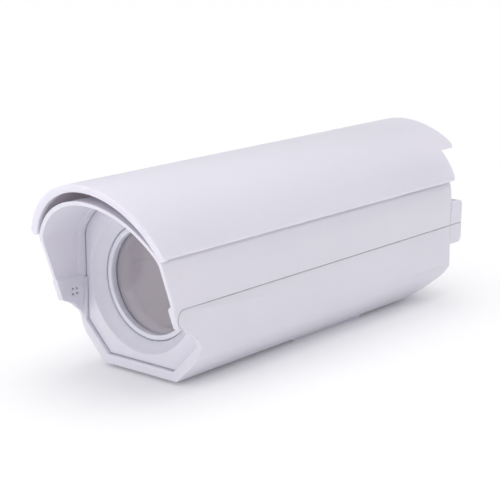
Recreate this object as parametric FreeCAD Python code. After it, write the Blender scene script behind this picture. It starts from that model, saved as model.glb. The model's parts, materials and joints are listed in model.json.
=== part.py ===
import FreeCAD, Part
import math
import os

# Outdoor camera housing in moulded plastic: a deep tray, a hood that tilts up from a nose hinge at the
# front, a sunshield over the hood and a round window in a dished front panel.
# While building, X runs across, Y from the tray's front rim to its tail, and Z up from its flat bottom.
# Each solid is then moved so that the origin lies at the middle of the bracket pad's underside.

Vec = FreeCAD.Vector

# General sizes, in millimetres
wall = 3.0                  # thickness of the moulded walls
half_width = 60.0           # from the centre to the outside of a flank
body_length = 322.0         # from the front rim to the tail
slide_gap = 0.3             # between pieces that pass each other
seat_gap = 0.15             # between a piece and the pocket that holds it
thread_gap = 0.1            # around nuts, seals and washers
fixed_gap = 0.05            # around inserts and around screws held in plastic

# Tray section
flat_half = 36.4            # half the width of the flat bottom
slant_rise = 1.0            # rise of the slanted sides for each millimetre outward
flank_round = 23.0
bottom_round = 2.5
tail_round = 40.0           # side view rounding under the tail
corner_round = 5.0          # plan view rounding of the tail corners
parting_height = 61.9       # top edge of the tray
parting_gap = 0.5           # open line between tray and hood

# Front rim and the panel behind it
rim_thick = 4.4             # thickness of the tray's front frame
panel_sink = 2.9            # how far the panel's face lies behind the rim's
panel_groove = 0.8          # open groove between that face and the rim
rim_side = 4.7              # width of the rim along the flanks
rim_low_step = 3.6          # how far the recess's lower corners lie inside the tray's
recess_bottom = 6.7
recess_side_round = 3.0
recess_low_round = 1.0
panel_thick = 2.4           # its edge behind the front frame
panel_gap = 0.8             # between the panel's arched top and the hood
rib_depth = 2.5
rib_thick = 2.0
rib_margin = 3.0            # how far the ribs stop short of the corners

# Window
window_height = 65.0
dish_radius = 51.5
dish_step_radius = 50.2
dish_step_depth = 2.2
dish_slope_depth = 6.2
dish_wall = 3.0
socket_radius = 44.0
clear_radius = 39.4
ring_sink = 0.7             # ring's face behind the end of the dish
ring_thick = 5.5
ring_chamfer = 0.5
ring_groove = 0.8           # open groove around the ring's face
ring_groove_depth = 2.4
glass_thick = 3.0
gasket_thick = 1.7
shoulder_width = 3.5
shoulder_thick = 3.0

# Hinge at the front of each flank
hinge_ahead = 15.8          # hinge axis ahead of the rim
tilt_limit = 45.0           # how far the hood tilts up, in degrees
nose_radius = 6.75
nose_gap = 0.9
spigot_radius = 3.5
spigot_clearance = 0.08
nose_skin = 1.0             # plastic left outside the blind hinge hole
nose_tuck = 0.9             # share of the nose radius at which its plate meets the slanted edge
spigot_end_gap = 0.2
slope_drop = 20.95          # from the hinge axis down to where the slanted front edge leaves the rim
slope_rise = 0.8            # rise of that edge for each millimetre forward
slope_round = 13.0          # rounding between that edge and the rim
lug_thick = 1.9
lug_rise = 0.2              # lug edge above the tray's slanted edge
lug_taper = 3.2             # height of the thickening above the parting line
lug_tip_drop = 6.9          # lug's front corner below the hinge axis
lug_heel_drop = 3.0         # from there down to where the lug's lower edge starts
lug_tip_round = 2.0
ear_lead = 1.3              # ear ahead of the visor's edge
ear_step = 3.4              # height of the step in the hood's front edge
ear_spare = 2.0             # degrees left between ear and tray at the end of the tilt
vent_radius = 0.95
vent_pitch = 4.0
vent_behind = 5.5           # centre of the vent holes behind the hinge axis
vent_drop = 1.9
vent_count = 2              # rows and columns
dimple_radius = 1.1
dimple_ahead = 4.0
dimple_drop = 7.2
dimple_depth = 1.5

# Hood
kink_height = 98.6          # height where the flank meets the arched top
crown_bulge = 8.2           # arch radius less half the width
visor_reach = 39.0          # front edge ahead of the rim at the kink
visor_slope = 0.36          # how far it leans forward for each millimetre of height
hood_tail_round = 114.0     # side view rounding of the hood's tail
kink_round = 5.0            # rounding at the kink, outside and inside
kink_inner_round = 14.0
flange_ahead = 5.0          # hood's inner flange, ahead of the rim
flange_depth = 1.0
flange_gap = 0.5            # between that flange and the panel's face
hood_rib_depth = 2.2
hood_rib_thick = 1.8

# Sunshield
shield_bulge = 2.1          # shield radius less the arch radius
shield_lift = 10.05         # shield's centre above the arch's centre
shield_wall = 3.3
shield_low_rise = 4.4       # its lower edges above the kink
shield_reach = 41.9         # front edge ahead of the rim at the lower edges
shield_slope = 0.29
shield_lip = 2.3            # extra thickness of the front lip
shield_lip_depth = 4.5
shield_tail_short = 5.5     # rear edge of the sides ahead of the tail
shield_tail_round = 8.0
shield_tab_half = 49.0      # half the width of the rear tab
shield_tab_drop = 20.95     # from the shield's top down to where the tab begins
shield_tab_reach = 10.0     # rear edge behind the tail at the middle
shield_horn_reach = 15.0    # rear edge behind the tail at its corners
shield_tab_round = 4.0
post_front = 45.0           # first shield post behind the rim
post_short = 57.0           # last one ahead of the tail
post_count = 3
post_radius = 5.0
crown_pad_radius = 6.5
crown_pad_rise = 0.5
crown_pad_sink = 1.0
washer_thick = 1.0
shield_screw_radius = 2.0
shield_screw_reach = 5.0
shield_head_radius = 3.5
shield_head_height = 2.5

# Closing lugs and screws at the tail
lug_reach = 13.5            # closing lugs behind the tail
lug_depth = 12.0            # across, inward from the flank
lug_bottom = 45.5
lug_top = 82.0
lug_corner = 4.5
screw_inset = 6.2           # screw axis inward from the flank
screw_behind = 7.0          # screw axis behind the tail
screw_radius = 2.0
screw_reach = 7.0           # below the parting line
screw_play = 0.3
head_radius = 3.6
head_height = 3.6
head_pocket = 7.0
socket_hex = 1.6
socket_depth = 2.0
shield_socket_depth = 1.2
insert_radius = 3.0
insert_length = 9.5

# Strip that seals tray to hood
strip_width = 1.2
strip_height = 1.5
groove_depth = 1.3
groove_play = 0.1

# Camera plate inside
plate_half = 27.0
plate_thick = 2.0
plate_height = 14.0
plate_front = 50.0
plate_short = 37.0          # rear edge ahead of the tail
plate_round = 6.0
plate_slot_width = 6.8
plate_slot_front = 25.0     # slot behind the plate's front edge
plate_slot_back = 55.0      # slot ahead of its rear edge
standoff_radius = 4.5
standoff_inset = 8.0
plate_screw_radius = 1.5
plate_screw_length = 8.0
plate_head_radius = 3.0
plate_head_height = 2.0
camera_screw_place = 120.0
camera_screw_radius = 3.1
camera_screw_rise = 6.0
camera_collar_thick = 1.0
camera_knob_radius = 8.0
camera_knob_height = 5.0
camera_collar_radius = 5.6
knob_flutes = 8
knob_flute_radius = 1.1

# Bracket pad underneath
pad_front = 134.0
pad_back = 227.0
pad_half = 34.0
pad_drop = 2.8
pad_bevel = 3.0
bracket_pitch_x = 40.0
bracket_pitch_y = 60.0
bracket_bore = 2.1
bracket_insert_radius = 3.4
bracket_insert_length = 8.0
bracket_boss_radius = 6.0
bracket_boss_cap = 2.0

# Cable glands in the tail
gland_places = [-22.0, 22.0]
gland_height = 36.0
gland_boss_radius = 13.0
gland_boss_inner = 7.5      # inner face of the boss ahead of the tail
gland_boss_outer = 2.5      # outer face behind it
gland_thread_radius = 7.5
gland_hex = 10.0            # half across the flats
gland_flange_thick = 5.0
gland_nut_thick = 5.0
gland_tail = 6.0            # thread behind the flange
gland_tube_bore = 5.2
gland_seal_bore = 3.3
gland_seal_length = 14.0
gland_cap_length = 13.0
gland_cap_hole = 4.4
gland_dome = 5.0
gland_cap_flat = 9.6        # half across the flats
gland_dome_radius = 6.2

# Worked out once from the sizes above
chamfer_top = (half_width - flat_half) * slant_rise
recess_half = half_width - rim_side
recess_low_half = flat_half - rim_low_step
recess_corner = recess_bottom + (recess_half - recess_low_half) * slant_rise
crown_radius = half_width + crown_bulge
crown_centre = kink_height - math.sqrt(crown_radius ** 2 - half_width ** 2)
crown_height = crown_centre + crown_radius
shield_radius = crown_radius + shield_bulge
shield_centre = crown_centre + shield_lift
shield_low = kink_height + shield_low_rise
shield_tail = body_length - shield_tail_short
shield_tab_low = shield_centre + shield_radius - shield_tab_drop
shield_tab_end = body_length + shield_tab_reach
shield_tab_horn = body_length + shield_horn_reach
post_step = (body_length - post_short - post_front) / (post_count - 1)
post_places = [post_front + i * post_step for i in range(post_count)]
hood_rib_places = [y + post_step / 2 for y in post_places[:-1]]
plate_back = body_length - plate_short
hood_bottom = parting_height + parting_gap
hinge_y = -hinge_ahead
hinge_z = parting_height - nose_radius
slope_start = hinge_z - slope_drop
lug_radius = hinge_ahead - slide_gap
inner_half = half_width - wall
pad_middle = (pad_front + pad_back) / 2
panel_front = panel_sink
panel_back = rim_thick + seat_gap + panel_thick
dish_end = panel_front + dish_step_depth + dish_slope_depth
ring_front = dish_end + ring_sink
glass_front = ring_front + ring_thick
gasket_front = glass_front + glass_thick
shoulder_front = gasket_front + gasket_thick
beyond = 40.0               # how far cutting tools run past the body


def xz(a, b):
    return Vec(a, 0, b)


def yz(a, b):
    return Vec(0, a, b)


def xy(a, b):
    return Vec(a, b, 0)


# Closed outline from corners (a, b, radius), each rounded by an arc of its own radius
def outline(corners, place):
    starts = []
    ends = []
    arcs = []
    count = len(corners)
    for i, (a, b, radius) in enumerate(corners):
        corner = place(a, b)
        if radius <= 0:
            starts.append(corner)
            ends.append(corner)
            arcs.append(None)
            continue
        before = (place(*corners[i - 1][:2]) - corner).normalize()
        after = (place(*corners[(i + 1) % count][:2]) - corner).normalize()
        half = before.getAngle(after) / 2
        reach = radius / math.tan(half)
        middle = (before + after).normalize()
        starts.append(corner + before * reach)
        ends.append(corner + after * reach)
        arcs.append(corner + middle * (radius / math.sin(half) - radius))
    edges = []
    for i in range(count):
        if arcs[i] is not None:
            edges.append(Part.Arc(starts[i], arcs[i], ends[i]).toShape())
        following = starts[(i + 1) % count]
        if ends[i].distanceToPoint(following) > 1e-6:
            edges.append(Part.LineSegment(ends[i], following).toShape())
    return Part.Wire(edges)


def slab_x(wire, x0, x1):
    face = Part.Face(wire)
    face.translate(Vec(x0, 0, 0))
    return face.extrude(Vec(x1 - x0, 0, 0))


def slab_y(wire, y0, y1):
    face = Part.Face(wire)
    face.translate(Vec(0, y0, 0))
    return face.extrude(Vec(0, y1 - y0, 0))


def slab_z(wire, z0, z1):
    face = Part.Face(wire)
    face.translate(Vec(0, 0, z0))
    return face.extrude(Vec(0, 0, z1 - z0))


def rod_x(y, z, radius, x0, x1):
    return Part.makeCylinder(radius, x1 - x0, Vec(x0, y, z), Vec(1, 0, 0))


def rod_y(x, z, radius, y0, y1):
    return Part.makeCylinder(radius, y1 - y0, Vec(x, y0, z), Vec(0, 1, 0))


def rod_z(x, y, radius, z0, z1):
    return Part.makeCylinder(radius, z1 - z0, Vec(x, y, z0), Vec(0, 0, 1))


def block(x0, x1, y0, y1, z0, z1):
    return Part.makeBox(x1 - x0, y1 - y0, z1 - z0, Vec(x0, y0, z0))


def hexagon_y(x, z, flat_radius, y0, y1):
    corner = flat_radius / math.cos(math.pi / 6)
    turns = [math.pi / 3 * i for i in range(6)]
    corners = [(x + corner * math.cos(t), z + corner * math.sin(t), 0) for t in turns]
    return slab_y(outline(corners, xz), y0, y1)


def hexagon_z(x, y, flat_radius, z0, z1):
    corner = flat_radius / math.cos(math.pi / 6)
    turns = [math.pi / 3 * i for i in range(6)]
    corners = [(x + corner * math.cos(t), y + corner * math.sin(t), 0) for t in turns]
    return slab_z(outline(corners, xy), z0, z1)


# Full turn about the window's axis of a profile given as (radius, y)
def turn_window(profile):
    points = [Vec(radius, y, window_height) for radius, y in profile]
    face = Part.Face(Part.makePolygon(points + points[:1]))
    return face.revolve(Vec(0, 0, window_height), Vec(0, 1, 0), 360)


def mirrored(shape):
    return shape.mirror(Vec(0, 0, 0), Vec(1, 0, 0))


def both(shape):
    return [shape, mirrored(shape)]


def write(name, shape):
    solids = [solid.copy() for solid in shape.removeSplitter().Solids]
    piece = solids[0] if len(solids) == 1 else Part.makeCompound(solids)
    piece.translate(Vec(0, -pad_middle, pad_drop))
    piece.exportStep("parts/" + name + ".step")
    print(name, len(solids), round(piece.Volume), piece.isValid())


# Ends of the slanted side when the tray's outline is moved inward
def slanted_side(inset):
    run = half_width - flat_half
    slant = math.hypot(run, chamfer_top)
    across = -inset * chamfer_top / slant
    up = inset * run / slant
    low_x = flat_half + across + run * (inset - up) / chamfer_top
    high_z = up + chamfer_top * (half_width - inset - flat_half - across) / run
    return low_x, high_z


def tray_section(inset, top):
    low_x, high_z = slanted_side(inset)
    half = half_width - inset
    side = flank_round - inset
    low = max(bottom_round - inset, 0.5)
    return outline([(-half, top, 0), (-half, high_z, side), (-low_x, inset, low),
                    (low_x, inset, low), (half, high_z, side), (half, top, 0)], xz)


def plan(inset):
    half = half_width - inset
    end = body_length - inset
    turn = corner_round - inset
    return outline([(-half, -2 * beyond, 0), (half, -2 * beyond, 0), (half, end, turn),
                    (-half, end, turn)], xy)


# Solid that fills the tray's outline, moved inward by inset
def tray_block(inset, front, top):
    end = body_length - inset
    section = slab_y(tray_section(inset, top), front, end)
    side = outline([(front, inset, 0), (end, inset, tail_round - inset), (end, top, 0),
                    (front, top, 0)], yz)
    return section.common(slab_x(side, -half_width, half_width)).common(slab_z(plan(inset), 0, top))


# Recess inside the rim, moved inward by inset
def recess_section(inset, top):
    slant = math.atan(slant_rise)
    half = recess_half - inset
    low_half = recess_low_half - inset * math.tan(slant / 2)
    low = recess_bottom + inset
    corner = recess_corner + inset * math.tan((math.pi / 2 - slant) / 2)
    return outline([(-half, top, 0), (-half, corner, recess_side_round), (-low_half, low, recess_low_round),
                    (low_half, low, recess_low_round), (half, corner, recess_side_round),
                    (half, top, 0)], xz)


# Forward height of the tray's slanted front edge, moved up by lift
def slope_y(z, lift=0.0):
    return -(z - slope_start - lift) / slope_rise


# Nose plate ahead of the rim on the right flank, with its blind hinge hole
def nose():
    low = slope_start - slope_round
    tip = hinge_z - nose_radius * nose_tuck
    plate = slab_x(outline([(wall, low, 0), (0, low, 0), (0, slope_start, slope_round),
                            (slope_y(tip), tip, 0), (hinge_y, hinge_z, 0), (hinge_y, parting_height, 0),
                            (wall, parting_height, 0)], yz),
                   inner_half, half_width)
    plate = plate.common(slab_y(tray_section(0, parting_height), -beyond, beyond))
    knob = rod_x(hinge_y, hinge_z, nose_radius, inner_half, half_width)
    bore = spigot_radius + spigot_clearance
    hole = rod_x(hinge_y, hinge_z, bore, inner_half - 1, half_width - nose_skin)
    return plate.fuse(knob).cut(hole)


def closing_lug(bottom, top, round_low, round_high):
    inner = half_width - lug_depth
    front = body_length - wall + fixed_gap
    end = body_length + lug_reach
    side = outline([(front, bottom, 0), (end, bottom, round_low), (end, top, round_high),
                    (front, top, 0)], yz)
    return slab_x(side, inner, half_width)


screw_x = half_width - screw_inset
screw_y = body_length + screw_behind


# Ribs that hold the front panel against the rim
def panel_ribs():
    front = panel_back + seat_gap
    inset = wall + rib_depth
    low_x, high_z = slanted_side(wall)
    side = block(inner_half - rib_depth, inner_half + 1, front, front + rib_thick,
                 high_z + flank_round / 2, parting_height - rib_margin)
    floor = block(-low_x + rib_margin, low_x - rib_margin, front, front + rib_thick, wall / 2, inset)
    return both(side) + [floor]


def plate_corners():
    x = plate_half - standoff_inset
    ends = (plate_front + standoff_inset, plate_back - standoff_inset)
    return [(side * x, y) for side in (-1, 1) for y in ends]


def bracket_corners():
    return [(sx * bracket_pitch_x / 2, pad_middle + sy * bracket_pitch_y / 2)
            for sx in (-1, 1) for sy in (-1, 1)]


def seal_path(width, z0, z1):
    middle = wall / 2
    front = panel_back + seat_gap
    outer = slab_z(plan(middle - width / 2), z0, z1)
    inner = slab_z(plan(middle + width / 2), z0 - 1, z1 + 1)
    ahead = block(-beyond * 2, beyond * 2, -beyond * 3, front, z0 - 1, z1 + 1)
    return outer.cut(inner).cut(ahead)


def base_tray():
    shell = tray_block(0, 0, parting_height)
    hollow = tray_block(wall, rim_thick, parting_height + beyond)
    mouth = slab_y(recess_section(0, parting_height + beyond), -1, rim_thick + 1)
    tray = shell.cut(hollow).cut(mouth)
    added = both(nose()) + panel_ribs()
    added += both(closing_lug(lug_bottom, parting_height, lug_corner, 0))
    root = wall / 2
    pad_side = outline([(pad_front, root, 0), (pad_front, 0, 0), (pad_front + pad_bevel, -pad_drop, 0),
                        (pad_back - pad_bevel, -pad_drop, 0), (pad_back, 0, 0), (pad_back, root, 0)], yz)
    added.append(slab_x(pad_side, -pad_half, pad_half))
    for x, y in plate_corners():
        added.append(rod_z(x, y, standoff_radius, wall / 2, plate_height))
    boss_top = bracket_insert_length - pad_drop + bracket_boss_cap
    for x, y in bracket_corners():
        added.append(rod_z(x, y, bracket_boss_radius, wall / 2, boss_top))
    for x in gland_places:
        added.append(rod_y(x, gland_height, gland_boss_radius, body_length - gland_boss_inner,
                           body_length + gland_boss_outer))
    tray = tray.multiFuse(added)
    cuts = [seal_path(strip_width + 2 * groove_play, parting_height - groove_depth, parting_height + 1)]
    for x, y in plate_corners():
        cuts.append(rod_z(x, y, plate_screw_radius + fixed_gap, plate_height - plate_screw_length,
                          plate_height + 1))
    for x, y in bracket_corners():
        cuts.append(rod_z(x, y, bracket_insert_radius + fixed_gap, -pad_drop - 1,
                          bracket_insert_length - pad_drop))
    for x in gland_places:
        cuts.append(rod_y(x, gland_height, gland_thread_radius + thread_gap, body_length - beyond,
                          body_length + beyond))
    for side in (-1, 1):
        cuts.append(rod_z(side * screw_x, screw_y, insert_radius + fixed_gap, parting_height - insert_length,
                          parting_height + 1))
    return tray.cut(Part.makeCompound(cuts))


# Front panel's outline as a slab: the tray's section below, the hood's arch above
def panel_slab(y0, y1):
    edge = wall + seat_gap + slide_gap / 2
    middle = parting_height + slide_gap
    lower = slab_y(tray_section(edge, middle), y0, y1)
    upper = slab_y(hood_section(wall + panel_gap, middle), y0, y1)
    half = half_width - edge
    return lower.fuse(upper.common(block(-half, half, y0, y1, middle, crown_height)))


def front_panel():
    plate = panel_slab(rim_thick + seat_gap, panel_back)
    middle = parting_height + slide_gap
    face = slab_y(recess_section(panel_groove, middle), panel_front, panel_back)
    upper = block(-half_width, half_width, 0, beyond, middle, crown_height)
    above = panel_slab(panel_front, panel_back).common(upper)
    opening = rod_y(0, window_height, dish_radius, -1, beyond)
    back = shoulder_front + shoulder_thick
    outer = socket_radius + dish_wall
    dish = turn_window([(dish_radius + dish_wall, panel_front), (dish_radius, panel_front),
                        (dish_step_radius, panel_front + dish_step_depth),
                        (socket_radius, dish_end), (socket_radius, shoulder_front),
                        (socket_radius - shoulder_width, shoulder_front),
                        (socket_radius - shoulder_width, back), (outer, back),
                        (outer, dish_end + dish_wall / 2),
                        (dish_radius + dish_wall, panel_back)])
    return plate.multiFuse([face, above]).cut(opening).fuse(dish)


def window_ring():
    outer = socket_radius - seat_gap
    face = socket_radius - ring_groove
    seat = ring_front + ring_groove_depth
    return turn_window([(clear_radius + ring_chamfer, ring_front), (face - ring_chamfer, ring_front),
                        (face, ring_front + ring_chamfer), (face, seat), (outer, seat),
                        (outer, glass_front), (clear_radius, glass_front),
                        (clear_radius, ring_front + ring_chamfer)])


def window_glass():
    return rod_y(0, window_height, socket_radius - 2 * seat_gap, glass_front, gasket_front)


def window_gasket():
    outer = rod_y(0, window_height, socket_radius - 2 * seat_gap, gasket_front, shoulder_front)
    inner = socket_radius - shoulder_width
    return outer.cut(rod_y(0, window_height, inner, gasket_front - 1, shoulder_front + 1))


def sealing_strip():
    bottom = parting_height - groove_depth
    return seal_path(strip_width, bottom, bottom + strip_height)


def camera_plate():
    corners = [(-plate_half, plate_front), (plate_half, plate_front), (plate_half, plate_back),
               (-plate_half, plate_back)]
    sheet = slab_z(outline([(x, y, plate_round) for x, y in corners], xy), plate_height,
                   plate_height + plate_thick)
    half = plate_slot_width / 2
    front = plate_front + plate_slot_front
    back = plate_back - plate_slot_back
    slot = slab_z(outline([(-half, front, half), (half, front, half), (half, back, half),
                           (-half, back, half)], xy), 0, beyond)
    holes = [rod_z(x, y, plate_screw_radius + slide_gap, 0, beyond) for x, y in plate_corners()]
    return sheet.cut(Part.makeCompound([slot] + holes))


def plate_screws():
    seat = plate_height + plate_thick
    screws = []
    for x, y in plate_corners():
        shank = rod_z(x, y, plate_screw_radius, plate_height - plate_screw_length + 1, seat)
        head = rod_z(x, y, plate_head_radius, seat, seat + plate_head_height)
        screws.append(shank.fuse(head))
    return Part.makeCompound(screws)


def camera_screw():
    y = camera_screw_place
    under = plate_height - camera_collar_thick
    shank = rod_z(0, y, camera_screw_radius, under, plate_height + plate_thick + camera_screw_rise)
    collar = rod_z(0, y, camera_collar_radius, under, plate_height)
    knob = rod_z(0, y, camera_knob_radius, under - camera_knob_height, under)
    flutes = []
    for i in range(knob_flutes):
        turn = 2 * math.pi * i / knob_flutes
        flutes.append(rod_z(camera_knob_radius * math.cos(turn), y + camera_knob_radius * math.sin(turn),
                            knob_flute_radius, 0, under))
    return knob.cut(Part.makeCompound(flutes)).fuse(shank).fuse(collar)


def bracket_inserts():
    bottom = -pad_drop
    inserts = []
    for x, y in bracket_corners():
        sleeve = rod_z(x, y, bracket_insert_radius, bottom, bottom + bracket_insert_length)
        inserts.append(sleeve.cut(rod_z(x, y, bracket_bore, bottom - 1, bottom + bracket_insert_length + 1)))
    return Part.makeCompound(inserts)


def closing_inserts():
    inserts = []
    for side in (-1, 1):
        x = side * screw_x
        bottom = parting_height - insert_length
        sleeve = rod_z(x, screw_y, insert_radius, bottom, parting_height)
        bore = rod_z(x, screw_y, screw_radius + screw_play, bottom - 1, parting_height + 1)
        inserts.append(sleeve.cut(bore))
    return Part.makeCompound(inserts)


gland_seat = body_length + gland_boss_outer
gland_inside = body_length - gland_boss_inner
gland_neck = gland_seat + gland_flange_thick


def gland_body(x):
    inner_end = gland_inside - gland_nut_thick - 1
    thread = rod_y(x, gland_height, gland_thread_radius, inner_end, gland_neck + gland_tail)
    flange = hexagon_y(x, gland_height, gland_hex, gland_seat, gland_neck)
    return thread.fuse(flange).cut(rod_y(x, gland_height, gland_tube_bore, 0, body_length + beyond))


def gland_nut(x):
    nut = hexagon_y(x, gland_height, gland_hex, gland_inside - gland_nut_thick, gland_inside)
    return nut.cut(rod_y(x, gland_height, gland_thread_radius + thread_gap, 0, body_length))


def gland_seal(x):
    end = gland_neck + gland_tail + 1
    plug = rod_y(x, gland_height, gland_tube_bore - thread_gap, end - gland_seal_length, end)
    return plug.cut(rod_y(x, gland_height, gland_seal_bore, 0, body_length + beyond))


def gland_cap(x):
    start = gland_neck + 0.5
    end = start + gland_cap_length
    grip = hexagon_y(x, gland_height, gland_cap_flat, start, end - gland_dome)
    root = Vec(x, end - gland_dome, gland_height)
    dome = Part.makeCone(gland_cap_flat, gland_dome_radius, gland_dome, root, Vec(0, 1, 0))
    inside = rod_y(x, gland_height, gland_thread_radius + thread_gap, start - 1, gland_neck + gland_tail + 1)
    throat = rod_y(x, gland_height, gland_cap_hole, start, end + 1)
    return grip.fuse(dome).cut(inside).cut(throat)


# Front edge of the hood in side view, moved forward by lead
def visor_y(z, lead=0.0):
    return -visor_reach - lead - visor_slope * (z - kink_height)


# Flanks and arch of the hood moved inward by inset, with the kink between them rounded
def hood_section(inset, bottom):
    half = half_width - inset
    radius = crown_radius - inset
    turn = kink_round + (kink_inner_round - kink_round) * inset / wall
    middle = Vec(half - turn, 0, crown_centre + math.sqrt((radius - turn) ** 2 - (half - turn) ** 2))
    outward = (middle - xz(0, crown_centre)).normalize()
    side = middle + Vec(turn, 0, 0)
    bend = middle + (outward + Vec(1, 0, 0)).normalize() * turn
    shoulder = middle + outward * turn

    def across(p):
        return Vec(-p.x, 0, p.z)

    edges = [Part.LineSegment(xz(-half, bottom), xz(half, bottom)).toShape(),
             Part.LineSegment(xz(half, bottom), side).toShape(), Part.Arc(side, bend, shoulder).toShape(),
             Part.Arc(shoulder, xz(0, crown_centre + radius), across(shoulder)).toShape(),
             Part.Arc(across(shoulder), across(bend), across(side)).toShape(),
             Part.LineSegment(across(side), xz(-half, bottom)).toShape()]
    return Part.Wire(edges)


# Side view of the hood: slanted visor edge in front, large arc at the tail
def hood_side(inset, bottom, lead):
    top = crown_height + beyond
    centre_y = body_length - hood_tail_round
    radius = hood_tail_round - inset
    middle_z = (hood_bottom + crown_height) / 2
    end_y = [centre_y + math.sqrt(radius ** 2 - (z - hood_bottom) ** 2) for z in (middle_z, crown_height)]
    corners = [yz(end_y[1], crown_height), yz(end_y[1], top), yz(visor_y(top, lead), top),
               yz(visor_y(bottom, lead), bottom), yz(centre_y + radius, bottom)]
    edges = [Part.LineSegment(corners[i], corners[i + 1]).toShape() for i in range(4)]
    last = corners[4]
    if hood_bottom - bottom > 1e-6:
        tail = yz(centre_y + radius, hood_bottom)
        edges.append(Part.LineSegment(last, tail).toShape())
        last = tail
    edges.append(Part.Arc(last, yz(end_y[0], middle_z), corners[0]).toShape())
    return Part.Wire(edges)


def hood_block(inset, bottom, lead):
    section = slab_y(hood_section(inset, bottom), -2 * beyond, body_length)
    side = slab_x(hood_side(inset, bottom, lead), -half_width, half_width)
    return section.common(side).common(slab_z(plan(inset), bottom, crown_height + 1))


# Tray plate behind its slanted edge, turned to where the fully tilted hood would meet it
def tilted_plate():
    gap = -slide_gap * math.hypot(1, slope_rise)
    tip = hinge_z - nose_radius * nose_tuck
    plate = slab_x(outline([(slope_y(tip, gap), tip, 0), (hinge_y, hinge_z, 0), (0, hinge_z, 0),
                            (slope_y(0, gap), 0, 0)], yz), 0, half_width + 1)
    plate.rotate(Vec(0, hinge_y, hinge_z), Vec(1, 0, 0), -tilt_limit - ear_spare)
    return plate


# Ear ahead of the nose, in the plane of the right flank
def ear():
    top = hood_bottom + ear_step
    low = hinge_z - 2 * nose_radius
    shape = slab_x(outline([(visor_y(top), top, 0), (visor_y(hood_bottom, ear_lead), hood_bottom, 0),
                            (visor_y(low, ear_lead), low, 0), (hinge_y, low, 0), (hinge_y, top, 0)], yz),
                   inner_half - slide_gap, half_width)
    bite = rod_x(hinge_y, hinge_z, nose_radius + nose_gap, 0, half_width + 1)
    return shape.cut(bite).cut(tilted_plate())


# Lug inboard of the nose, with the vent holes and the hinge spigot
def hinge_lug():
    inner = inner_half - slide_gap - lug_thick
    outer = inner_half - slide_gap
    joint = hood_bottom + 0.1
    top = joint + lug_taper
    low = hinge_z - lug_radius
    section = slab_y(outline([(inner, low, 0), (outer, low, 0), (outer, joint, 0), (outer + 1, joint, 0),
                              (outer + 1, top + 1, 0), (inner_half, top, 0), (inner, joint + 1, 0)], xz),
                     hinge_y - beyond, 0)
    tip = hinge_z - lug_tip_drop
    heel = tip - lug_heel_drop
    side = slab_x(outline([(visor_y(top), top + 1, 0), (visor_y(top), top, 0),
                           (visor_y(hood_bottom, ear_lead), hood_bottom, 0),
                           (visor_y(tip, ear_lead), tip, lug_tip_round),
                           (slope_y(heel, lug_rise), heel, 0),
                           (slope_y(low, lug_rise), low, 0), (0, low, 0), (0, top + 1, 0)], yz),
                  inner - 1, half_width)
    reach = rod_x(hinge_y, hinge_z, lug_radius, inner - 1, half_width)
    reach = reach.fuse(block(inner - 1, half_width, hinge_y - beyond, -slide_gap, hinge_z, crown_height))
    lug = section.common(side).common(reach)
    holes = []
    for row in range(vent_count):
        for column in range(vent_count):
            y = hinge_y + vent_behind + (column - (vent_count - 1) / 2) * vent_pitch
            z = hinge_z - vent_drop + (row - (vent_count - 1) / 2) * vent_pitch
            holes.append(rod_x(y, z, vent_radius, inner - 1, outer + slide_gap))
    holes.append(rod_x(hinge_y - dimple_ahead, hinge_z - dimple_drop, dimple_radius,
                       outer - dimple_depth, outer + slide_gap))
    end = half_width - nose_skin - spigot_end_gap
    spigot = rod_x(hinge_y, hinge_z, spigot_radius, inner + lug_thick / 2, end)
    return lug.cut(Part.makeCompound(holes)).fuse(spigot)


# Flange around the hood's inside, just ahead of the front panel
def hood_flange():
    back = panel_front - flange_gap
    outer = slab_y(hood_section(wall / 2, hood_bottom), -flange_ahead, back)
    return outer.cut(slab_y(hood_section(wall + flange_depth, hood_bottom - 1), -flange_ahead - 1, back + 1))


def hood_ribs():
    ribs = []
    for y in hood_rib_places:
        outer = slab_y(hood_section(wall / 2, kink_height), y, y + hood_rib_thick)
        inner = slab_y(hood_section(wall + hood_rib_depth, kink_height - 1), y - 1, y + hood_rib_thick + 1)
        ribs.append(outer.cut(inner))
    return ribs


crown_pad_top = crown_height + crown_pad_rise
crown_pad_bottom = crown_height - wall - crown_pad_sink


def top_hood():
    shell = hood_block(0, hood_bottom, 0)
    hollow = hood_block(wall, hood_bottom - 1, beyond)
    hood = shell.cut(hollow)
    added = both(ear()) + both(hinge_lug()) + [hood_flange()] + hood_ribs()
    added += both(closing_lug(hood_bottom, lug_top, 0, lug_corner))
    for y in post_places:
        added.append(rod_z(0, y, crown_pad_radius, crown_pad_bottom, crown_pad_top))
    hood = hood.multiFuse(added)
    cuts = [rod_z(0, y, shield_screw_radius + slide_gap, 0, crown_height + 1) for y in post_places]
    for side in (-1, 1):
        x = side * screw_x
        cuts.append(rod_z(x, screw_y, screw_radius + screw_play, 0, crown_height))
        cuts.append(rod_z(x, screw_y, head_radius + screw_play, lug_top - head_pocket, crown_height))
    return hood.cut(Part.makeCompound(cuts))


# Arc strip with round edges, seen from the front
def shield_section(thick):
    inner = shield_radius - thick
    rise = math.asin((shield_low - shield_centre) / (shield_radius - thick / 2))
    side = Vec(math.cos(rise), 0, math.sin(rise))
    down = Vec(math.sin(rise), 0, -math.cos(rise))
    centre = Vec(0, 0, shield_centre)
    far = centre + side * shield_radius
    near = centre + side * inner
    cap = centre + side * (shield_radius - thick / 2) + down * (thick / 2)

    def across(p):
        return Vec(-p.x, 0, p.z)

    edges = [Part.Arc(across(far), Vec(0, 0, shield_centre + shield_radius), far).toShape(),
             Part.Arc(far, cap, near).toShape(),
             Part.Arc(near, Vec(0, 0, shield_centre + inner), across(near)).toShape(),
             Part.Arc(across(near), across(cap), across(far)).toShape()]
    return Part.Wire(edges)


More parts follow.
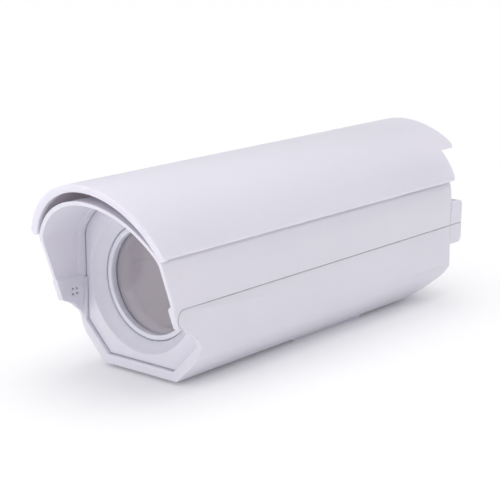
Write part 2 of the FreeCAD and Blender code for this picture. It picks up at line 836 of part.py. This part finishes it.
def shield_y(z, behind=0.0):
    return -shield_reach + behind - shield_slope * (z - shield_low)


def shield_side():
    low = shield_low - shield_wall
    top = shield_centre + shield_radius + 1
    end = shield_tab_horn + 1
    return outline([(shield_y(low), low, 0), (shield_tail, low, shield_tail_round),
                    (shield_tail, shield_tab_low, 1.0), (end, shield_tab_low, 0), (end, top, 0),
                    (shield_y(top), top, 0)], yz)


# Rear tab in plan view: hollow end between two rounded horns
def shield_tab():
    half = shield_tab_half
    wide = half_width + beyond
    turn = shield_tab_round
    front = -2 * beyond
    horn = xy(half - turn, shield_tab_horn)
    side = xy(half, shield_tab_horn - turn)
    bend = xy(half - turn * (1 - math.sqrt(0.5)), shield_tab_horn - turn * (1 - math.sqrt(0.5)))

    def across(p):
        return Vec(-p.x, p.y, 0)

    def line(a, b):
        return Part.LineSegment(a, b).toShape()

    step = xy(half, shield_tail)
    edges = [line(xy(-wide, front), xy(wide, front)), line(xy(wide, front), xy(wide, shield_tail)),
             line(xy(wide, shield_tail), step), line(step, side), Part.Arc(side, bend, horn).toShape(),
             Part.Arc(horn, xy(0, shield_tab_end), across(horn)).toShape(),
             Part.Arc(across(horn), across(bend), across(side)).toShape(), line(across(side), across(step)),
             line(across(step), xy(-wide, shield_tail)), line(xy(-wide, shield_tail), xy(-wide, front))]
    return Part.Wire(edges)


def shield_lip_slab():
    low = shield_low - shield_wall
    top = shield_centre + shield_radius + 1
    return outline([(shield_y(low), low, 0), (shield_y(low, shield_lip_depth), low, 0),
                    (shield_y(top, shield_lip_depth), top, 0), (shield_y(top), top, 0)], yz)


post_bottom = crown_pad_top + washer_thick


def sunshield():
    front = shield_y(shield_centre + shield_radius) - 1
    sheet = slab_y(shield_section(shield_wall), front, shield_tab_horn)
    lip = slab_y(shield_section(shield_wall + shield_lip), front, 0)
    lip = lip.common(slab_x(shield_lip_slab(), -beyond * 2, beyond * 2))
    sheet = sheet.common(slab_x(shield_side(), -beyond * 2, beyond * 2))
    sheet = sheet.common(slab_z(shield_tab(), 0, shield_centre + shield_radius + 1))
    ceiling = shield_centre + shield_radius - shield_wall
    posts = [rod_z(0, y, post_radius, post_bottom, ceiling + shield_wall / 2) for y in post_places]
    bores = [rod_z(0, y, shield_screw_radius + fixed_gap, 0, post_bottom + shield_screw_reach + 0.5)
             for y in post_places]
    return sheet.fuse(lip).multiFuse(posts).cut(Part.makeCompound(bores))


def shield_washers():
    rings = []
    for y in post_places:
        ring = rod_z(0, y, crown_pad_radius - 0.5, crown_pad_top, post_bottom)
        rings.append(ring.cut(rod_z(0, y, shield_screw_radius + thread_gap, 0, crown_height * 2)))
    return Part.makeCompound(rings)


def shield_screws():
    screws = []
    for y in post_places:
        shank = rod_z(0, y, shield_screw_radius, crown_pad_bottom, post_bottom + shield_screw_reach)
        low = crown_pad_bottom - shield_head_height
        head = rod_z(0, y, shield_head_radius, low, crown_pad_bottom)
        drive = hexagon_z(0, y, socket_hex, low - beyond, low + shield_socket_depth)
        screws.append(shank.fuse(head).cut(drive))
    return Part.makeCompound(screws)


head_seat = lug_top - head_pocket + washer_thick


def closing_screw(side):
    x = side * screw_x
    shank = rod_z(x, screw_y, screw_radius, parting_height - screw_reach, head_seat)
    head = rod_z(x, screw_y, head_radius, head_seat, head_seat + head_height)
    drive = hexagon_z(x, screw_y, socket_hex, head_seat + head_height - socket_depth, head_seat + beyond)
    return shank.fuse(head).cut(drive)


def closing_washers():
    rings = []
    for side in (-1, 1):
        x = side * screw_x
        ring = rod_z(x, screw_y, head_radius, head_seat - washer_thick, head_seat)
        rings.append(ring.cut(rod_z(x, screw_y, screw_radius + thread_gap, 0, crown_height)))
    return Part.makeCompound(rings)


os.makedirs("parts", exist_ok=True)

write("base_tray", base_tray())
write("front_panel", front_panel())
write("window_ring", window_ring())
write("window_glass", window_glass())
write("window_gasket", window_gasket())
write("sealing_strip", sealing_strip())
write("camera_plate", camera_plate())
write("camera_plate_screws", plate_screws())
write("camera_screw", camera_screw())
write("bracket_inserts", bracket_inserts())
write("closing_inserts", closing_inserts())
for x, name in zip(gland_places, ("left", "right")):
    write("gland_body_" + name, gland_body(x))
    write("gland_nut_" + name, gland_nut(x))
    write("gland_seal_" + name, gland_seal(x))
    write("gland_cap_" + name, gland_cap(x))
write("top_hood", top_hood())
write("sunshield", sunshield())
write("shield_washers", shield_washers())
write("shield_screws", shield_screws())
write("closing_screw_left", closing_screw(-1))
write("closing_screw_right", closing_screw(1))
write("closing_washers", closing_washers())
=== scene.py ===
import bpy
import bmesh
import json
import math
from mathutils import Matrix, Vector


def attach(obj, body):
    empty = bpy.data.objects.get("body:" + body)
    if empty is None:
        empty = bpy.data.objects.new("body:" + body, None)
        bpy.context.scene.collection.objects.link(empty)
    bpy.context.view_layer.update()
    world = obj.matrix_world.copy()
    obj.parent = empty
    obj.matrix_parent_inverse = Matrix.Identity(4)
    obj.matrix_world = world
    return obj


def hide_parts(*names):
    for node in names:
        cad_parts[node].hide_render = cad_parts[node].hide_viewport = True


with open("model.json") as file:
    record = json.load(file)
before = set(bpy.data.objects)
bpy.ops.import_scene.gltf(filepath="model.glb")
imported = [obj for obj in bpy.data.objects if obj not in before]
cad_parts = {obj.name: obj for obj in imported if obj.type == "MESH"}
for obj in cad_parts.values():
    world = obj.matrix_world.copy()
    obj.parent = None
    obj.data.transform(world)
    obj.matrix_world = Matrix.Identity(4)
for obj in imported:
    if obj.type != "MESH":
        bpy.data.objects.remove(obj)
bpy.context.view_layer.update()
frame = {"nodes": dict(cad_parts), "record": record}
nodes = frame["nodes"]
print("frame loaded:", len(nodes), "pieces")

# The hood tilts, so each new piece rides with the node it stands for
bodyOf = {}
for bodyName, members in frame["record"]["behaviour"]["bodies"].items():
    for member in members:
        bodyOf[member] = bodyName


# Lowest and highest corner of a node's mesh
def span(nodeName):
    points = [vert.co for vert in nodes[nodeName].data.vertices]
    low = Vector([min(point[axis] for point in points) for axis in range(3)])
    high = Vector([max(point[axis] for point in points) for axis in range(3)])
    return low, high


# Node helpers

def addNode(tree, kind, place, **settings):
    node = tree.nodes.new(kind)
    node.location = place
    for key, value in settings.items():
        setattr(node, key, value)
    return node


def startMaterial(name):
    material = bpy.data.materials.new(name)
    material.use_nodes = True
    tree = material.node_tree
    tree.nodes.clear()
    output = addNode(tree, "ShaderNodeOutputMaterial", (600, 0))
    shader = addNode(tree, "ShaderNodeBsdfPrincipled", (300, 0))
    tree.links.new(shader.outputs[0], output.inputs[0])
    return material, tree, shader


def addGroup(tree, group, place, **values):
    node = addNode(tree, "ShaderNodeGroup", place)
    node.node_tree = group
    for key, value in values.items():
        node.inputs[key].default_value = value
    return node


def newGroup(name, inputs, outputs):
    group = bpy.data.node_groups.new(name, "ShaderNodeTree")
    for socketName, kind, value in inputs:
        socket = group.interface.new_socket(name=socketName, in_out="INPUT", socket_type=kind)
        if value is not None:
            socket.default_value = value
    for socketName, kind in outputs:
        group.interface.new_socket(name=socketName, in_out="OUTPUT", socket_type=kind)
    start = addNode(group, "NodeGroupInput", (-900, 0))
    end = addNode(group, "NodeGroupOutput", (700, 0))
    return group, start, end


def noiseAt(tree, place, scale, detail, vector):
    noise = addNode(tree, "ShaderNodeTexNoise", place)
    noise.inputs["Scale"].default_value = scale
    noise.inputs["Detail"].default_value = detail
    tree.links.new(vector, noise.inputs["Vector"])
    return noise


# Value times a factor, plus a base from another socket
def addScaled(tree, place, value, factor, base):
    node = addNode(tree, "ShaderNodeMath", place, operation="MULTIPLY_ADD")
    node.inputs[1].default_value = factor
    tree.links.new(value, node.inputs[0])
    tree.links.new(base, node.inputs[2])
    return node


# Bump whose height and strength come from sockets
def addBump(tree, place, distance, height, strength):
    node = addNode(tree, "ShaderNodeBump", place)
    node.inputs["Distance"].default_value = distance
    tree.links.new(height, node.inputs["Height"])
    tree.links.new(strength, node.inputs["Strength"])
    return node


# Satin skin of moulded plastic: faint flow mottling, fine grain and a soft ripple

skinLook = {"flowScale": 14.0, "flowDetail": 4.0, "flowLow": 0.35, "flowHigh": 0.7,
            "grainScale": 1400.0, "grainDetail": 2.0, "grainShine": 0.12, "grainHeight": 0.0002,
            "rippleScale": 45.0, "rippleDetail": 1.0, "rippleHeight": 0.002}


def buildMouldedSkin():
    group, start, end = newGroup(
        "mouldedSkin",
        [("Colour", "NodeSocketColor", (0.8, 0.8, 0.82, 1)), ("Tint", "NodeSocketColor", (0.78, 0.77, 0.8, 1)),
         ("Roughness", "NodeSocketFloat", 0.35), ("Grain Scale", "NodeSocketFloat", skinLook["grainScale"]),
         ("Grain Depth", "NodeSocketFloat", 0.12), ("Ripple", "NodeSocketFloat", 0.05)],
        [("Colour", "NodeSocketColor"), ("Roughness", "NodeSocketFloat"), ("Normal", "NodeSocketVector")])
    links = group.links
    coords = addNode(group, "ShaderNodeTexCoord", (-900, -300))
    flow = noiseAt(group, (-600, 200), skinLook["flowScale"], skinLook["flowDetail"], coords.outputs["Object"])
    blend = addNode(group, "ShaderNodeMix", (-100, 250), data_type="RGBA")
    spread = addNode(group, "ShaderNodeMapRange", (-350, 250))
    spread.inputs["From Min"].default_value = skinLook["flowLow"]
    spread.inputs["From Max"].default_value = skinLook["flowHigh"]
    links.new(flow.outputs["Fac"], spread.inputs["Value"])
    links.new(spread.outputs["Result"], blend.inputs["Factor"])
    links.new(start.outputs["Colour"], blend.inputs["A"])
    links.new(start.outputs["Tint"], blend.inputs["B"])
    links.new(blend.outputs["Result"], end.inputs["Colour"])

    grain = noiseAt(group, (-600, -200), skinLook["grainScale"], skinLook["grainDetail"],
                    coords.outputs["Object"])
    links.new(start.outputs["Grain Scale"], grain.inputs["Scale"])
    ripple = noiseAt(group, (-600, -450), skinLook["rippleScale"], skinLook["rippleDetail"],
                     coords.outputs["Object"])

    shine = addScaled(group, (-100, 0), grain.outputs["Fac"], skinLook["grainShine"],
                      start.outputs["Roughness"])
    links.new(shine.outputs[0], end.inputs["Roughness"])

    fine = addBump(group, (100, -200), skinLook["grainHeight"], grain.outputs["Fac"],
                   start.outputs["Grain Depth"])
    broad = addBump(group, (350, -300), skinLook["rippleHeight"], ripple.outputs["Fac"],
                    start.outputs["Ripple"])
    links.new(fine.outputs["Normal"], broad.inputs["Normal"])
    links.new(broad.outputs["Normal"], end.inputs["Normal"])
    return group


mouldedSkin = buildMouldedSkin()


# Worked metal: stretched brush marks with a slow change in tone and shine

metalLook = {"brushScale": 20.0, "brushDetail": 4.0, "brushShine": 0.2, "brushHeight": 0.0002,
             "patchScale": 120.0, "patchDetail": 3.0}


def buildWorkedMetal():
    group, start, end = newGroup(
        "workedMetal",
        [("Colour", "NodeSocketColor", (0.6, 0.6, 0.62, 1)),
         ("Dull Colour", "NodeSocketColor", (0.45, 0.45, 0.46, 1)),
         ("Roughness", "NodeSocketFloat", 0.3), ("Brush Scale", "NodeSocketVector", (60.0, 4.0, 60.0)),
         ("Brush Depth", "NodeSocketFloat", 0.15)],
        [("Colour", "NodeSocketColor"), ("Roughness", "NodeSocketFloat"), ("Normal", "NodeSocketVector")])
    links = group.links
    coords = addNode(group, "ShaderNodeTexCoord", (-900, -300))
    stretch = addNode(group, "ShaderNodeVectorMath", (-700, -200), operation="MULTIPLY")
    links.new(coords.outputs["Object"], stretch.inputs[0])
    links.new(start.outputs["Brush Scale"], stretch.inputs[1])
    brush = noiseAt(group, (-500, -200), metalLook["brushScale"], metalLook["brushDetail"], stretch.outputs[0])
    patch = noiseAt(group, (-500, 200), metalLook["patchScale"], metalLook["patchDetail"],
                    coords.outputs["Object"])
    blend = addNode(group, "ShaderNodeMix", (-100, 250), data_type="RGBA")
    links.new(patch.outputs["Fac"], blend.inputs["Factor"])
    links.new(start.outputs["Colour"], blend.inputs["A"])
    links.new(start.outputs["Dull Colour"], blend.inputs["B"])
    links.new(blend.outputs["Result"], end.inputs["Colour"])
    shine = addScaled(group, (-100, 0), brush.outputs["Fac"], metalLook["brushShine"],
                      start.outputs["Roughness"])
    links.new(shine.outputs[0], end.inputs["Roughness"])
    bump = addBump(group, (200, -200), metalLook["brushHeight"], brush.outputs["Fac"],
                   start.outputs["Brush Depth"])
    links.new(bump.outputs["Normal"], end.inputs["Normal"])
    return group


workedMetal = buildWorkedMetal()


def skinnedMaterial(name, look):
    material, tree, shader = startMaterial(name)
    skin = addGroup(tree, look["group"], (0, 0), **look["skin"])
    for socket, target in (("Colour", "Base Color"), ("Roughness", "Roughness"), ("Normal", "Normal")):
        tree.links.new(skin.outputs[socket], shader.inputs[target])
    for socket, value in look["shader"].items():
        shader.inputs[socket].default_value = value
    return material


# Finishes, one for each slot of the record, and a paler one for the collar behind the pane; the collar's extra
# paleness is painted light, standing in for the light its band catches through the pane

plasticShine = {"Specular IOR Level": 0.45, "Coat Weight": 0.12, "Coat Roughness": 0.3,
                "Subsurface Weight": 0.25, "Subsurface Radius": (1.0, 0.82, 0.75), "Subsurface Scale": 0.004}
finishes = {
    "housing": {
        "group": mouldedSkin,
        "skin": {"Colour": (0.800, 0.787, 0.868, 1), "Tint": (0.785, 0.771, 0.855, 1), "Roughness": 0.36},
        "shader": plasticShine,
    },
    "shield": {
        "group": mouldedSkin,
        "skin": {"Colour": (0.818, 0.800, 0.896, 1), "Tint": (0.803, 0.784, 0.883, 1), "Roughness": 0.34},
        "shader": dict(plasticShine, **{"Subsurface Weight": 0.45, "Subsurface Scale": 0.006}),
    },
    "ring": {
        "group": mouldedSkin,
        "skin": {"Colour": (0.805, 0.812, 0.885, 1), "Tint": (0.790, 0.796, 0.870, 1), "Roughness": 0.30},
        "shader": plasticShine,
    },
    # Collar: the housing plastic made paler and bluer, a painted highlight for the grazing light that falls on
    # the band behind the pane
    "collar": {
        "group": mouldedSkin,
        "skin": {"Colour": (0.90, 0.94, 0.99, 1), "Tint": (0.88, 0.92, 0.98, 1), "Roughness": 0.42},
        "shader": plasticShine,
    },
    "seals": {
        "group": mouldedSkin,
        "skin": {"Colour": (0.035, 0.035, 0.038, 1), "Tint": (0.060, 0.058, 0.058, 1), "Roughness": 0.62,
                 "Grain Depth": 0.3},
        "shader": {"Specular IOR Level": 0.35},
    },
    "gland": {
        "group": mouldedSkin,
        "skin": {"Colour": (0.62, 0.62, 0.65, 1), "Tint": (0.57, 0.57, 0.60, 1), "Roughness": 0.46,
                 "Grain Depth": 0.25},
        "shader": {"Specular IOR Level": 0.4},
    },
    "plate": {
        "group": workedMetal,
        "skin": {"Colour": (0.74, 0.75, 0.77, 1), "Dull Colour": (0.62, 0.63, 0.65, 1), "Roughness": 0.28},
        "shader": {"Metallic": 1.0},
    },
    "screws": {
        "group": workedMetal,
        "skin": {"Colour": (0.66, 0.66, 0.67, 1), "Dull Colour": (0.50, 0.50, 0.50, 1), "Roughness": 0.26,
                 "Brush Scale": (60.0, 60.0, 60.0)},
        "shader": {"Metallic": 1.0},
    },
    "inserts": {
        "group": workedMetal,
        "skin": {"Colour": (0.78, 0.60, 0.30, 1), "Dull Colour": (0.58, 0.42, 0.20, 1), "Roughness": 0.24,
                 "Brush Scale": (60.0, 60.0, 60.0)},
        "shader": {"Metallic": 1.0},
    },
}
slotMaterials = {}
for slotName, look in finishes.items():
    slotMaterials[slotName] = skinnedMaterial(slotName + "Finish", look)


# Slightly hazy window pane with faint smears; light for what lies behind passes straight through

windowLook = {"colour": (0.87, 0.815, 0.87, 1), "ior": 1.46, "clearness": 0.75, "smearScale": 18.0,
              "smearDetail": 3.0, "smearRoughness": 0.05}


def buildWindowGlass():
    material, tree, shader = startMaterial("windowGlass")
    shader.inputs["Base Color"].default_value = windowLook["colour"]
    shader.inputs["Transmission Weight"].default_value = windowLook["clearness"]
    shader.inputs["IOR"].default_value = windowLook["ior"]
    coords = addNode(tree, "ShaderNodeTexCoord", (-700, 0))
    smear = noiseAt(tree, (-500, 0), windowLook["smearScale"], windowLook["smearDetail"],
                    coords.outputs["Object"])
    shine = addNode(tree, "ShaderNodeMath", (-200, 0), operation="MULTIPLY")
    shine.inputs[1].default_value = windowLook["smearRoughness"]
    tree.links.new(smear.outputs["Fac"], shine.inputs[0])
    tree.links.new(shine.outputs[0], shader.inputs["Roughness"])
    path = addNode(tree, "ShaderNodeLightPath", (300, 300))
    through = addNode(tree, "ShaderNodeBsdfTransparent", (300, -200))
    mix = addNode(tree, "ShaderNodeMixShader", (500, 100))
    tree.links.new(path.outputs["Is Shadow Ray"], mix.inputs["Fac"])
    tree.links.new(shader.outputs[0], mix.inputs[1])
    tree.links.new(through.outputs[0], mix.inputs[2])
    tree.links.new(mix.outputs[0], tree.nodes["Material Output"].inputs[0])
    return material


slotMaterials["window"] = buildWindowGlass()

slotOf = {row["node"]: row["material_slot"] for row in frame["record"]["subparts"]}
for name, node in nodes.items():
    node.data.materials.clear()
    node.data.materials.append(slotMaterials[slotOf[name]])
print("finishes set:", len(slotMaterials))


# Softened copies of plastic pieces and screws, with rounded edges that catch the light

# The two faces that meet at an edge, the one that looks further forward first
def meetingFaces(edge):
    if len(edge.link_faces) != 2 or not edge.is_convex:
        return None
    return sorted(edge.link_faces, key=lambda face: face.normal.y)


# Outer edge all round the tray's front, between the faces that look forward and the flanks
def frontRimEdges(bm, look):
    limit = span("front_panel")[0].y - look["aheadOfPanel"]
    found = []
    for edge in bm.edges:
        faces = meetingFaces(edge)
        if faces is None or max(vert.co.y for vert in edge.verts) > limit:
            continue
        ahead, aside = faces
        outward = aside.normal.x * edge.verts[0].co.x > look["outward"] or aside.normal.z < -look["downward"]
        if ahead.normal.y < -look["forward"] and abs(aside.normal.y) < look["along"] and outward:
            found.append(edge)
    return found


# Outer (side 1) or inner (side -1) edge of the sunshield's thick front lip
def lipEdges(bm, look):
    shieldLow, shieldHigh = span("sunshield")
    limit = shieldLow.y + look["depth"]
    axisHeight = shieldHigh.z - look["belowCrown"]
    found = []
    for edge in bm.edges:
        faces = meetingFaces(edge)
        if faces is None or max(vert.co.y for vert in edge.verts) > limit:
            continue
        ahead, aside = faces
        middle = (edge.verts[0].co + edge.verts[1].co) / 2
        outward = Vector((middle.x, 0, middle.z - axisHeight)).normalized()
        if ahead.normal.y < -look["forward"] and look["side"] * aside.normal.dot(outward) > look["outward"]:
            found.append(edge)
    return found


def softenedCopy(nodeName, pieceName, edge):
    mesh = nodes[nodeName].data.copy()
    bm = bmesh.new()
    bm.from_mesh(mesh)
    bmesh.ops.remove_doubles(bm, verts=bm.verts, dist=edge["merge"])
    bmesh.ops.dissolve_limit(bm, angle_limit=math.radians(edge["flatAngle"]), verts=bm.verts, edges=bm.edges)
    for look in edge["broad"]:
        chosen = look["choose"](bm, look)
        bmesh.ops.bevel(bm, geom=chosen, offset=look["width"], offset_type="OFFSET", affect="EDGES",
                        segments=look["segments"], profile=0.5, material=-1, clamp_overlap=True)
        print(pieceName, "broad edges rounded:", len(chosen))
    for face in bm.faces:
        face.smooth = True
    bm.to_mesh(mesh)
    bm.free()
    mesh.name = pieceName
    piece = bpy.data.objects.new(pieceName, mesh)
    bpy.context.scene.collection.objects.link(piece)
    bevel = piece.modifiers.new("softEdges", "BEVEL")
    bevel.width = edge["width"]
    bevel.segments = edge["segments"]
    bevel.limit_method = "ANGLE"
    bevel.angle_limit = math.radians(edge["angle"])
    bevel.harden_normals = True
    bevel.use_clamp_overlap = True
    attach(piece, bodyOf[nodeName])
    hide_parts(nodeName)
    return piece


# Lengths in metres, angles in degrees; forward, along, outward and downward are limits that pick faces
plainEdge = {"merge": 2e-6, "flatAngle": 0.4, "width": 0.0007, "segments": 3, "angle": 28, "broad": []}
frontRim = {"choose": frontRimEdges, "aheadOfPanel": 0.0028, "forward": 0.3, "along": 0.1, "outward": 0.02,
            "downward": 0.5, "width": 0.0016, "segments": 4}
lip = {"choose": lipEdges, "depth": 0.055, "belowCrown": 0.0693, "forward": 0.7, "outward": 0.4}
outerLip = dict(lip, side=1, width=0.0031, segments=6)
innerLip = dict(lip, side=-1, width=0.0012, segments=4)
edges = {
    "base_tray": {"pieceName": "tray", "width": 0.0006, "broad": [frontRim]},
    "top_hood": {"pieceName": "hood", "width": 0.0007},
    "sunshield": {"pieceName": "sunshieldSheet", "width": 0.0007, "broad": [outerLip, innerLip]},
    "front_panel": {"pieceName": "dishedPanel", "width": 0.0005},
    "window_ring": {"pieceName": "windowRing", "width": 0.0003},
    "gland_body_left": {"pieceName": "glandBodyLeft", "width": 0.0003},
    "gland_body_right": {"pieceName": "glandBodyRight", "width": 0.0003},
    "gland_cap_left": {"pieceName": "glandCapLeft", "width": 0.0004},
    "gland_cap_right": {"pieceName": "glandCapRight", "width": 0.0004},
    "closing_screw_left": {"pieceName": "closingScrewLeft", "width": 0.0003},
    "closing_screw_right": {"pieceName": "closingScrewRight", "width": 0.0003},
    "shield_screws": {"pieceName": "shieldScrews", "width": 0.0003},
    "camera_plate_screws": {"pieceName": "cameraPlateScrews", "width": 0.0003},
    "camera_screw": {"pieceName": "cameraScrew", "width": 0.0004},
    "gland_nut_left": {"pieceName": "glandNutLeft", "width": 0.0004},
    "gland_nut_right": {"pieceName": "glandNutRight", "width": 0.0004},
}
for nodeName, settings in edges.items():
    edge = dict(plainEdge, **settings)
    softenedCopy(nodeName, edge["pieceName"], edge)
print("edges softened:", len(edges))


# Full turn of a closed profile of (radius, y) points about an axis along Y through the centre
def turnedPiece(pieceName, nodeName, profile, centre, segments):
    bm = bmesh.new()
    ring = [bm.verts.new((centre.x + radius, y, centre.z)) for radius, y in profile]
    loop = [bm.edges.new((ring[i - 1], ring[i])) for i in range(len(ring))]
    bmesh.ops.spin(bm, geom=ring + loop, cent=(centre.x, 0, centre.z), axis=(0, 1, 0), angle=2 * math.pi,
                   steps=segments, use_merge=True)
    bmesh.ops.recalc_face_normals(bm, faces=bm.faces)
    for face in bm.faces:
        face.smooth = True
    mesh = bpy.data.meshes.new(pieceName)
    bm.to_mesh(mesh)
    bm.free()
    piece = bpy.data.objects.new(pieceName, mesh)
    bpy.context.scene.collection.objects.link(piece)
    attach(piece, bodyOf[nodeName])
    return piece


# Collar behind the pane, seen through it as a pale band; the band's paleness is partly painted light from the
# collar's paler finish
collar = {"wall": 0.0008, "depth": 0.0135, "clearance": 0.0001, "segments": 96, "edge": 0.0003}
glassLow, glassHigh = span("window_glass")
windowCentre = (glassLow + glassHigh) / 2
bore = min(math.hypot(vert.co.x - windowCentre.x, vert.co.z - windowCentre.z)
           for vert in nodes["window_gasket"].data.vertices) - collar["clearance"]
collarFront = glassHigh.y + collar["clearance"]
collarBack = collarFront + collar["depth"]
inner = bore - collar["wall"]
innerCollar = turnedPiece("innerCollar", "front_panel", [
    (bore, collarFront), (bore, collarBack - collar["edge"]), (bore - collar["edge"], collarBack),
    (inner + collar["edge"], collarBack), (inner, collarBack - collar["edge"]), (inner, collarFront)],
    windowCentre, collar["segments"])
# Paler collar finish: painted light for the lit band seen through the pane
innerCollar.data.materials.append(slotMaterials["collar"])
print("collar turned")


# Camera at the photograph's angle

cameraView = {
    "place": (0.7172, -0.9105, 0.3465),
    "turn": (90 - 13.9, 0, 40.01),  # degrees
    "lens": 106.37,
    "sensor": 36,
}
cameraData = bpy.data.cameras.new("photoCamera")
cameraData.lens = cameraView["lens"]
cameraData.sensor_width = cameraView["sensor"]
camera = bpy.data.objects.new("photoCamera", cameraData)
camera.location = cameraView["place"]
camera.rotation_euler = [math.radians(angle) for angle in cameraView["turn"]]
bpy.context.scene.collection.objects.link(camera)
bpy.context.scene.camera = camera
print("camera set")


# Studio: pale floor, a sky that is brighter overhead, and one soft lamp in front

studio = {
    "floorSize": 14.0,
    "floorColour": (0.97, 0.97, 0.975, 1),
    "floorGlow": 0.04,
    "floorRoughness": 0.9,
    "skyColour": (1.0, 0.995, 1.0, 1),
    "horizonStrength": 0.47,
    "zenithRise": 1.62,
    "zenithPower": 4,
    "seenStrength": 1.0,
}
world = bpy.data.worlds.new("studioWorld")
world.use_nodes = True
sky = world.node_tree
background = sky.nodes["Background"]
background.inputs[0].default_value = studio["skyColour"]
skyPoint = addNode(sky, "ShaderNodeTexCoord", (-900, 0))
height = addNode(sky, "ShaderNodeSeparateXYZ", (-700, 0))
steepness = addNode(sky, "ShaderNodeMath", (-500, 0), operation="POWER")
strength = addNode(sky, "ShaderNodeMath", (-300, 0), operation="MULTIPLY_ADD")
sky.links.new(skyPoint.outputs["Generated"], height.inputs[0])
sky.links.new(height.outputs["Z"], steepness.inputs[0])
steepness.inputs[1].default_value = studio["zenithPower"]
sky.links.new(steepness.outputs[0], strength.inputs[0])
strength.inputs[1].default_value = studio["zenithRise"]
strength.inputs[2].default_value = studio["horizonStrength"]
direct = addNode(sky, "ShaderNodeLightPath", (-300, 250))
seen = addNode(sky, "ShaderNodeMix", (-120, 100), data_type="FLOAT")
seen.inputs["B"].default_value = studio["seenStrength"]
sky.links.new(direct.outputs["Is Camera Ray"], seen.inputs["Factor"])
sky.links.new(strength.outputs[0], seen.inputs["A"])
sky.links.new(seen.outputs["Result"], background.inputs["Strength"])
bpy.context.scene.world = world
bpy.context.scene.view_settings.view_transform = "Standard"

floorBm = bmesh.new()
bmesh.ops.create_grid(floorBm, x_segments=1, y_segments=1, size=studio["floorSize"] / 2)
floorMesh = bpy.data.meshes.new("floor")
floorBm.to_mesh(floorMesh)
floorBm.free()
floor = bpy.data.objects.new("floor", floorMesh)
bpy.context.scene.collection.objects.link(floor)
floorMaterial, _, floorShader = startMaterial("floorPaper")
floorShader.inputs["Base Color"].default_value = studio["floorColour"]
floorShader.inputs["Roughness"].default_value = studio["floorRoughness"]
floorShader.inputs["Emission Color"].default_value = studio["floorColour"]
floorShader.inputs["Emission Strength"].default_value = studio["floorGlow"]
floorMesh.materials.append(floorMaterial)

lamps = {
    "front": {"place": (-0.45, -1.7, 0.42), "aim": (0, -0.15, 0.07), "size": 0.9, "power": 4.5,
              "colour": (1, 1, 1)},
}
for name, lamp in lamps.items():
    data = bpy.data.lights.new(name, "AREA")
    data.shape = "SQUARE"
    data.size = lamp["size"]
    data.energy = lamp["power"]
    data.color = lamp["colour"]
    light = bpy.data.objects.new(name, data)
    light.location = lamp["place"]
    aimed = Vector(lamp["aim"]) - Vector(lamp["place"])
    light.rotation_euler = aimed.to_track_quat("-Z", "Y").to_euler()
    bpy.context.scene.collection.objects.link(light)
print("studio set")
